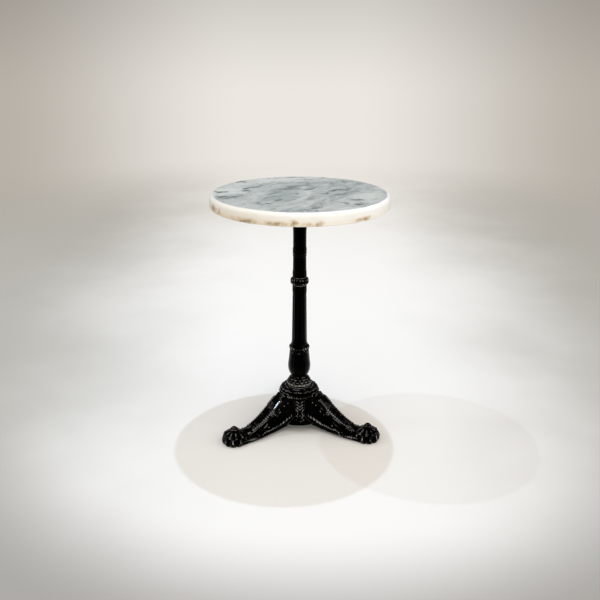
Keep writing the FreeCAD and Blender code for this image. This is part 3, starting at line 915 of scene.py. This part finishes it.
def paw(place):
    """Ball foot of rounded toes with knuckles, nails and tufts, under a ringed knob."""
    x, y, z = place
    ahead = x - foot_radius
    middle = 9.0
    ball_radius = 26.0
    half_height = np.where(z > middle, 25.0, 20.0)
    ball_share = np.sqrt((ahead ** 2 + y ** 2) / ball_radius ** 2 + ((z - middle) / half_height) ** 2)
    toe_count = 10
    toe = fold(np.arctan2(y, ahead), toe_count, math.radians(18))
    gap = fold(np.arctan2(y, ahead), toe_count)
    toes = 3.4 * dome(toe / 0.97) * window(z, -6, 31, 6)
    knuckles = 1.5 * dome(np.hypot(toe / 0.75, (z - 23) / 5.5))
    nails = 1.1 * dome(np.hypot(toe / 0.5, (z - 6.5) / 6.0))
    tendons = 1.8 * dome(toe / 0.2) * window(z, 9, 24, 3)
    tufts = 2.6 * dome(gap / 0.3) * window(z, 19, 33, 4)
    detail = toes + np.maximum(np.maximum(knuckles, nails), np.maximum(tendons, tufts))
    body = (ball_share - 1) * 22 - detail * window(ball_share, 0.6, 3.0, 0.2)

    knob_radius = foot_radius + 1
    knob = ball(place, (knob_radius, 0, 34), 10.4)
    lower_groove = np.abs(ball(place, (knob_radius, 0, 38), 8.0)) - 0.8
    upper_groove = np.abs(ball(place, (knob_radius, 0, 41), 6.5)) - 0.7
    groove = np.minimum(lower_groove, upper_groove)
    return join(body, np.maximum(knob, -groove), 0.8)


def leg_mesh():
    step = 0.8
    side_reach = 33
    start = (seat_radius - 1, -side_reach, -2)
    end = (foot_radius + side_reach, side_reach, rim_level + 6)
    place = axes(start, end, step)
    x, y, z = place
    beam = leg_trim(place, leg_beam(x, y, z))
    body = join(np.maximum(beam, x - foot_radius), paw(place), 2.0)
    body = np.maximum(np.maximum(body, -z), seat_radius - x)
    for level in bolt_levels:
        hole = np.maximum(np.hypot(y, z - level) - leg_hole_radius, x - seat_radius - leg_hole_depth)
        body = np.maximum(body, -hole)
    points, quads = surface_net(body, start, step)
    # The proud attribute, with extra painted highlight on the rails and the rib.
    proud = proud_heights(points, quads) + rail_and_rib_glint(points)
    return add_mesh("leg_casting", points, quads, proud)


# Hub: slim bell with an apron and a domed cap, hollow below, with a flat seat for every leg
crown_radius = 28.5
dome_radius = 49.5
band_level = rim_level - 11
waist_level = band_level - 4
waist_radius = 31.5
apron_radius = 60.0
apron_curve = 4
hub_reach = 62.4
hub_wall = 7.0
crown_wall = 14
seat_wall = 6.0
seat_border = 4
pocket_gap = 0.3
hub_hole_radius = 4.8
petal_count = 22
ornament_start = 30


def cap_ornament(angle, radius, level):
    """Relief of the cap: a ring, a wreath of petals with proud tips, and a band of eggs and darts below."""
    on_petal = fold(angle, petal_count, FRONT)
    off_petal = fold(angle, petal_count, FRONT + math.pi / petal_count)
    ring = 1.5 * dome((radius - 34.6) / 1.9)
    along = (radius - 37.5) / 9
    petals = shingle(on_petal / 0.93, along) * (0.3 + 1.9 * np.clip(along, 0, 1))
    on_dome = smoothstep(level, rim_level + 0.5, rim_level + 2.5)
    eggs = dome(np.hypot(off_petal / 0.62, (level - rim_level + 3.6) / 3.6))
    darts = dome(np.hypot(on_petal / 0.2, (level - rim_level + 5) / 3.4))
    lip = dome((level - band_level - 1.3) / 1.5)
    band = np.maximum(np.maximum(2.2 * eggs, 1.1 * darts), 0.5 * lip)
    return (ring + petals) * on_dome + band * (1 - on_dome)


def strip_ornament(angle, radius, level):
    """Relief of the strip between two legs: a bud, paired leaves, two scrolls, a palmette and a drop."""
    strips = len(leg_turns)
    across = fold(angle, strips, FRONT) * math.pi / strips * radius
    aside = np.abs(across)
    leaves = np.zeros_like(across + level)
    for height in (52, 60, 68):
        leaves = np.maximum(leaves, leaf_on(aside, level, (0.5, height), (8.5, height + 7), 2.3))
    fan_level = 28
    for degrees in (0, 38, 76):
        lean = math.radians(degrees)
        tip = (11 * math.sin(lean), fan_level + 12 * math.cos(lean))
        leaves = np.maximum(leaves, leaf_on(aside, level, (0, fan_level), tip, 2.6))
    scroll_side = 11.5
    from_scroll = np.hypot(aside - scroll_side, (level - 45) * 0.8) - 6.0
    scroll = dome(from_scroll / 1.5) * smoothstep(scroll_side - aside, 0, 2)
    bud = dome(np.hypot(across, level - 79) / 2.6)
    drop = dome(np.hypot(across / 3.0, (level - 23.5) / 4.0))
    hem = dome((level - apron_level - 2.2) / 2.2)
    rounded = 2.4 * np.maximum(bud, drop)
    return np.maximum(np.maximum(2.4 * leaves, 2.0 * scroll), np.maximum(rounded, 1.2 * hem))


def pocket_half(level):
    """Half width of a leg's pocket, which follows the leg's tapering flanks."""
    share = between(level, border_level(seat_radius), rim_level - root_drop - edge_height)
    low_half = half_bottom(apron_radius)
    return low_half + (half_top(seat_radius) - low_half) * share + pocket_gap


def hub_mesh():
    step = 0.9
    start = (-hub_reach, -hub_reach, apron_level - 2)
    end = (hub_reach, hub_reach, crown_level + spigot_height + 2)
    x, y, z = axes(start, end, step)
    radius = np.hypot(x, y)
    angle = np.arctan2(y, x)

    rise = between(z, apron_level, waist_level)
    flare = apron_radius - waist_radius
    bell = waist_radius + flare * (1 - rise) ** apron_curve
    lean = apron_curve * flare * (1 - rise) ** (apron_curve - 1) / (waist_level - apron_level)
    core = (radius - bell - strip_ornament(angle, radius, z)) / np.sqrt(1 + lean ** 2)
    core = np.maximum(core, np.maximum(apron_level - z, z - rim_level))

    arch = np.sqrt(1 - between(radius, crown_radius, dome_radius) ** 2)
    roof = rim_level + (crown_level - rim_level) * arch
    under = waist_level + (band_level - waist_level) * (radius - waist_radius) / (dome_radius - waist_radius)
    relief = cap_ornament(angle, radius, z) * (radius > ornament_start)
    cap = np.maximum(np.maximum(radius - dome_radius, (z - roof) * 0.8) - 0.85 * relief, under - z)
    spigot = np.maximum(radius - spigot_radius, z - crown_level - spigot_height)
    body = np.minimum(np.minimum(core, cap), np.maximum(spigot, rim_level - z))

    cavity_top = crown_level - crown_wall
    cavity = np.maximum(radius - bell + hub_wall, z - cavity_top)
    pocket = np.inf
    for turn in leg_turns.values():
        ahead = x * math.cos(turn) + y * math.sin(turn)
        beside = np.abs(y * math.cos(turn) - x * math.sin(turn))
        seat = np.maximum(seat_radius - seat_wall - ahead, beside - half_bottom(seat_radius) - seat_border)
        cavity = np.maximum(cavity, -seat)
        slot = np.maximum(np.maximum(seat_radius - ahead, beside - pocket_half(z)), z - rim_level)
        for level in bolt_levels:
            hole = np.maximum(np.hypot(beside, z - level) - hub_hole_radius, -ahead)
            slot = np.minimum(slot, np.maximum(hole, ahead - seat_radius - 1))
        pocket = np.minimum(pocket, slot)
    body = np.maximum(np.maximum(body, -cavity), -pocket)
    body = np.maximum(body, bore_radius - radius)

    points, quads = surface_net(body, start, step)
    # Painted highlight: proud relief is scaled up for brighter glints, and kept low on the lip.
    outer = np.hypot(points[:, 0], points[:, 1]) > waist_radius + 6
    on_lip = dome((points[:, 2] - band_level) / 2.5) * outer
    proud_scale = 1.35
    proud = proud_scale * proud_heights(points, quads) * (1 - 0.75 * on_lip)
    return add_mesh("hub_casting", points, quads, proud)


marble_slab()
capital()
upper_shaft()
column_ring()
lower_shaft()
bead_collar()
baluster()
base_collar()
add_piece("hub_casting", hub_mesh(), "hub")
shared_leg = leg_mesh()
for node, turn in leg_turns.items():
    add_piece(node + "_casting", shared_leg, node, turn)


# Stage: a pale floor with a painted pool of light round the table, darker away from it, which fades into the
# background
def floor():
    radius = 9.0
    columns = 96
    angle = np.arange(columns) * math.tau / columns
    points = np.stack([radius * np.cos(angle), radius * np.sin(angle), np.zeros(columns)], 1)
    mesh = bpy.data.meshes.new("floor")
    mesh.from_pydata(points.tolist(), [], [list(range(columns))])
    look = Surface("pale_floor")

    def distance(place, centre, reach=(1, 1, 1)):
        share = look.vector("DIVIDE", look.vector("SUBTRACT", place, centre), reach)
        return look.vector("LENGTH", share, output="Value")

    # Painted light: the floor colour is brightest in a pool round the table and darkens away from it.
    cloud = look.ramp(look.noise(1.6, 3), 0.3, 0.7, -0.06, 0.06)
    swung = look.node("ShaderNodeVectorRotate", {"Vector": look.place, "Angle": math.radians(4.0)},
                      rotation_type="Z_AXIS")
    back = look.coordinate(look.place, "Y")
    widening = look.ramp(back, 0.3, 1.4, 0.97, 1.14)
    pool_centre = (0.055, 0.3, 0)
    pool_reach = (1, 7, 1)
    aside = look.math("DIVIDE", distance(swung, pool_centre, pool_reach), widening)
    dimming = look.ramp(look.math("ADD", aside, cloud), 0.2, 1.1)
    painted_light_pool = look.mix(dimming, tint(251, 248, 244), tint(186, 182, 174))
    outside = look.ramp(distance(look.place, (0.06, 0.3, 0)), 0.75, 1.09)
    # Painted shade: darker floor colour beyond the pool, in front of the table.
    near = look.math("MULTIPLY", outside, look.ramp(back, 0.2, -0.2))
    look.set(Base_Color=look.mix(near, painted_light_pool, tint(174, 170, 165)))
    look.set(Roughness=0.9, Specular_IOR_Level=0.0)
    look.set(Alpha=look.ramp(distance(look.place, (0, 0, 0)), 1.8, 4.3, 1.0, 0.0))
    mesh.materials.append(look.material)
    piece = bpy.data.objects.new("floor", mesh)
    bpy.context.scene.collection.objects.link(piece)


light_level = 0.81
light_side = (0.19, -0.66, 0.0)
light_colour = (1.0, 0.966, 0.918, 1)
lamp_colour = (0.62, 0.79, 1.0)


def world():
    """Soft light, stronger from the front, behind a pale background that darkens overhead."""
    made = bpy.data.worlds.new("studio")
    made.use_nodes = True
    made.node_tree.nodes.clear()
    sky = Nodes(made.node_tree)
    direction = sky.node("ShaderNodeTexCoord", {}, "Generated")
    height = sky.coordinate(direction, "Z")
    facing = sky.vector("DOT_PRODUCT", direction, light_side, output="Value")
    light = sky.node("ShaderNodeBackground", {
        "Color": light_colour, "Strength": sky.math("ADD", facing, light_level)})
    aside = sky.math("SUBTRACT", sky.coordinate(direction, "X"), 0.055)
    sideways = sky.ramp(sky.math("ABSOLUTE", aside), 0.06, 0.38)
    backdrop = sky.mix(sideways, tint(236, 232, 225), tint(184, 177, 168))
    horizon = sky.ramp(height, -0.09, 0.09, 1.0, 0.68)
    overhead = sky.ramp(height, 0.08, 0.55, 1.0, 0.08)
    shown = sky.node("ShaderNodeBackground", {
        "Color": backdrop, "Strength": sky.math("MULTIPLY", horizon, overhead)})
    seen = sky.node("ShaderNodeLightPath", {}, "Is Camera Ray")
    for name in ("Is Glossy Ray", "Is Transmission Ray"):
        seen = sky.math("MAXIMUM", seen, sky.node("ShaderNodeLightPath", {}, name))
    mixed = sky.node("ShaderNodeMixShader", {0: seen, 1: light, 2: shown})
    output = made.node_tree.nodes.new("ShaderNodeOutputWorld")
    sky.feed(output.inputs["Surface"], mixed)
    bpy.context.scene.world = made


def lamp(name, place, radius, watts):
    light = bpy.data.lights.new(name, "POINT")
    light.energy = watts
    light.color = lamp_colour
    light.shadow_soft_size = radius
    item = bpy.data.objects.new(name, light)
    item.location = place
    bpy.context.scene.collection.objects.link(item)


def camera():
    """Photographer's view, slightly from above and a little to the left."""
    data = bpy.data.cameras.new("camera")
    data.sensor_width = 36
    data.lens = 45.3
    item = bpy.data.objects.new("camera", data)
    pan = Matrix.Rotation(math.radians(-3.34), 4, "Z")
    tilt = Matrix.Rotation(math.radians(90 - 19.8), 4, "X")
    roll = Matrix.Rotation(math.radians(0.25), 4, "Z")
    place = Matrix.Translation((-0.0997, -1.7287, 0.9582))
    item.matrix_world = place @ pan @ tilt @ roll
    bpy.context.scene.collection.objects.link(item)
    bpy.context.scene.camera = item


floor()
world()
lamp("lamp_above", (0.156, 0.385, 2.792), 0.02, 66)
lamp("lamp_left", (-1.273, 0.47, 2.978), 0.02, 40)
lamp("lamp_side", (-1.75, 0.1, 1.6), 0.05, 10)
camera()
bpy.context.scene.view_settings.view_transform = "Standard"

bpy.context.view_layer.update()
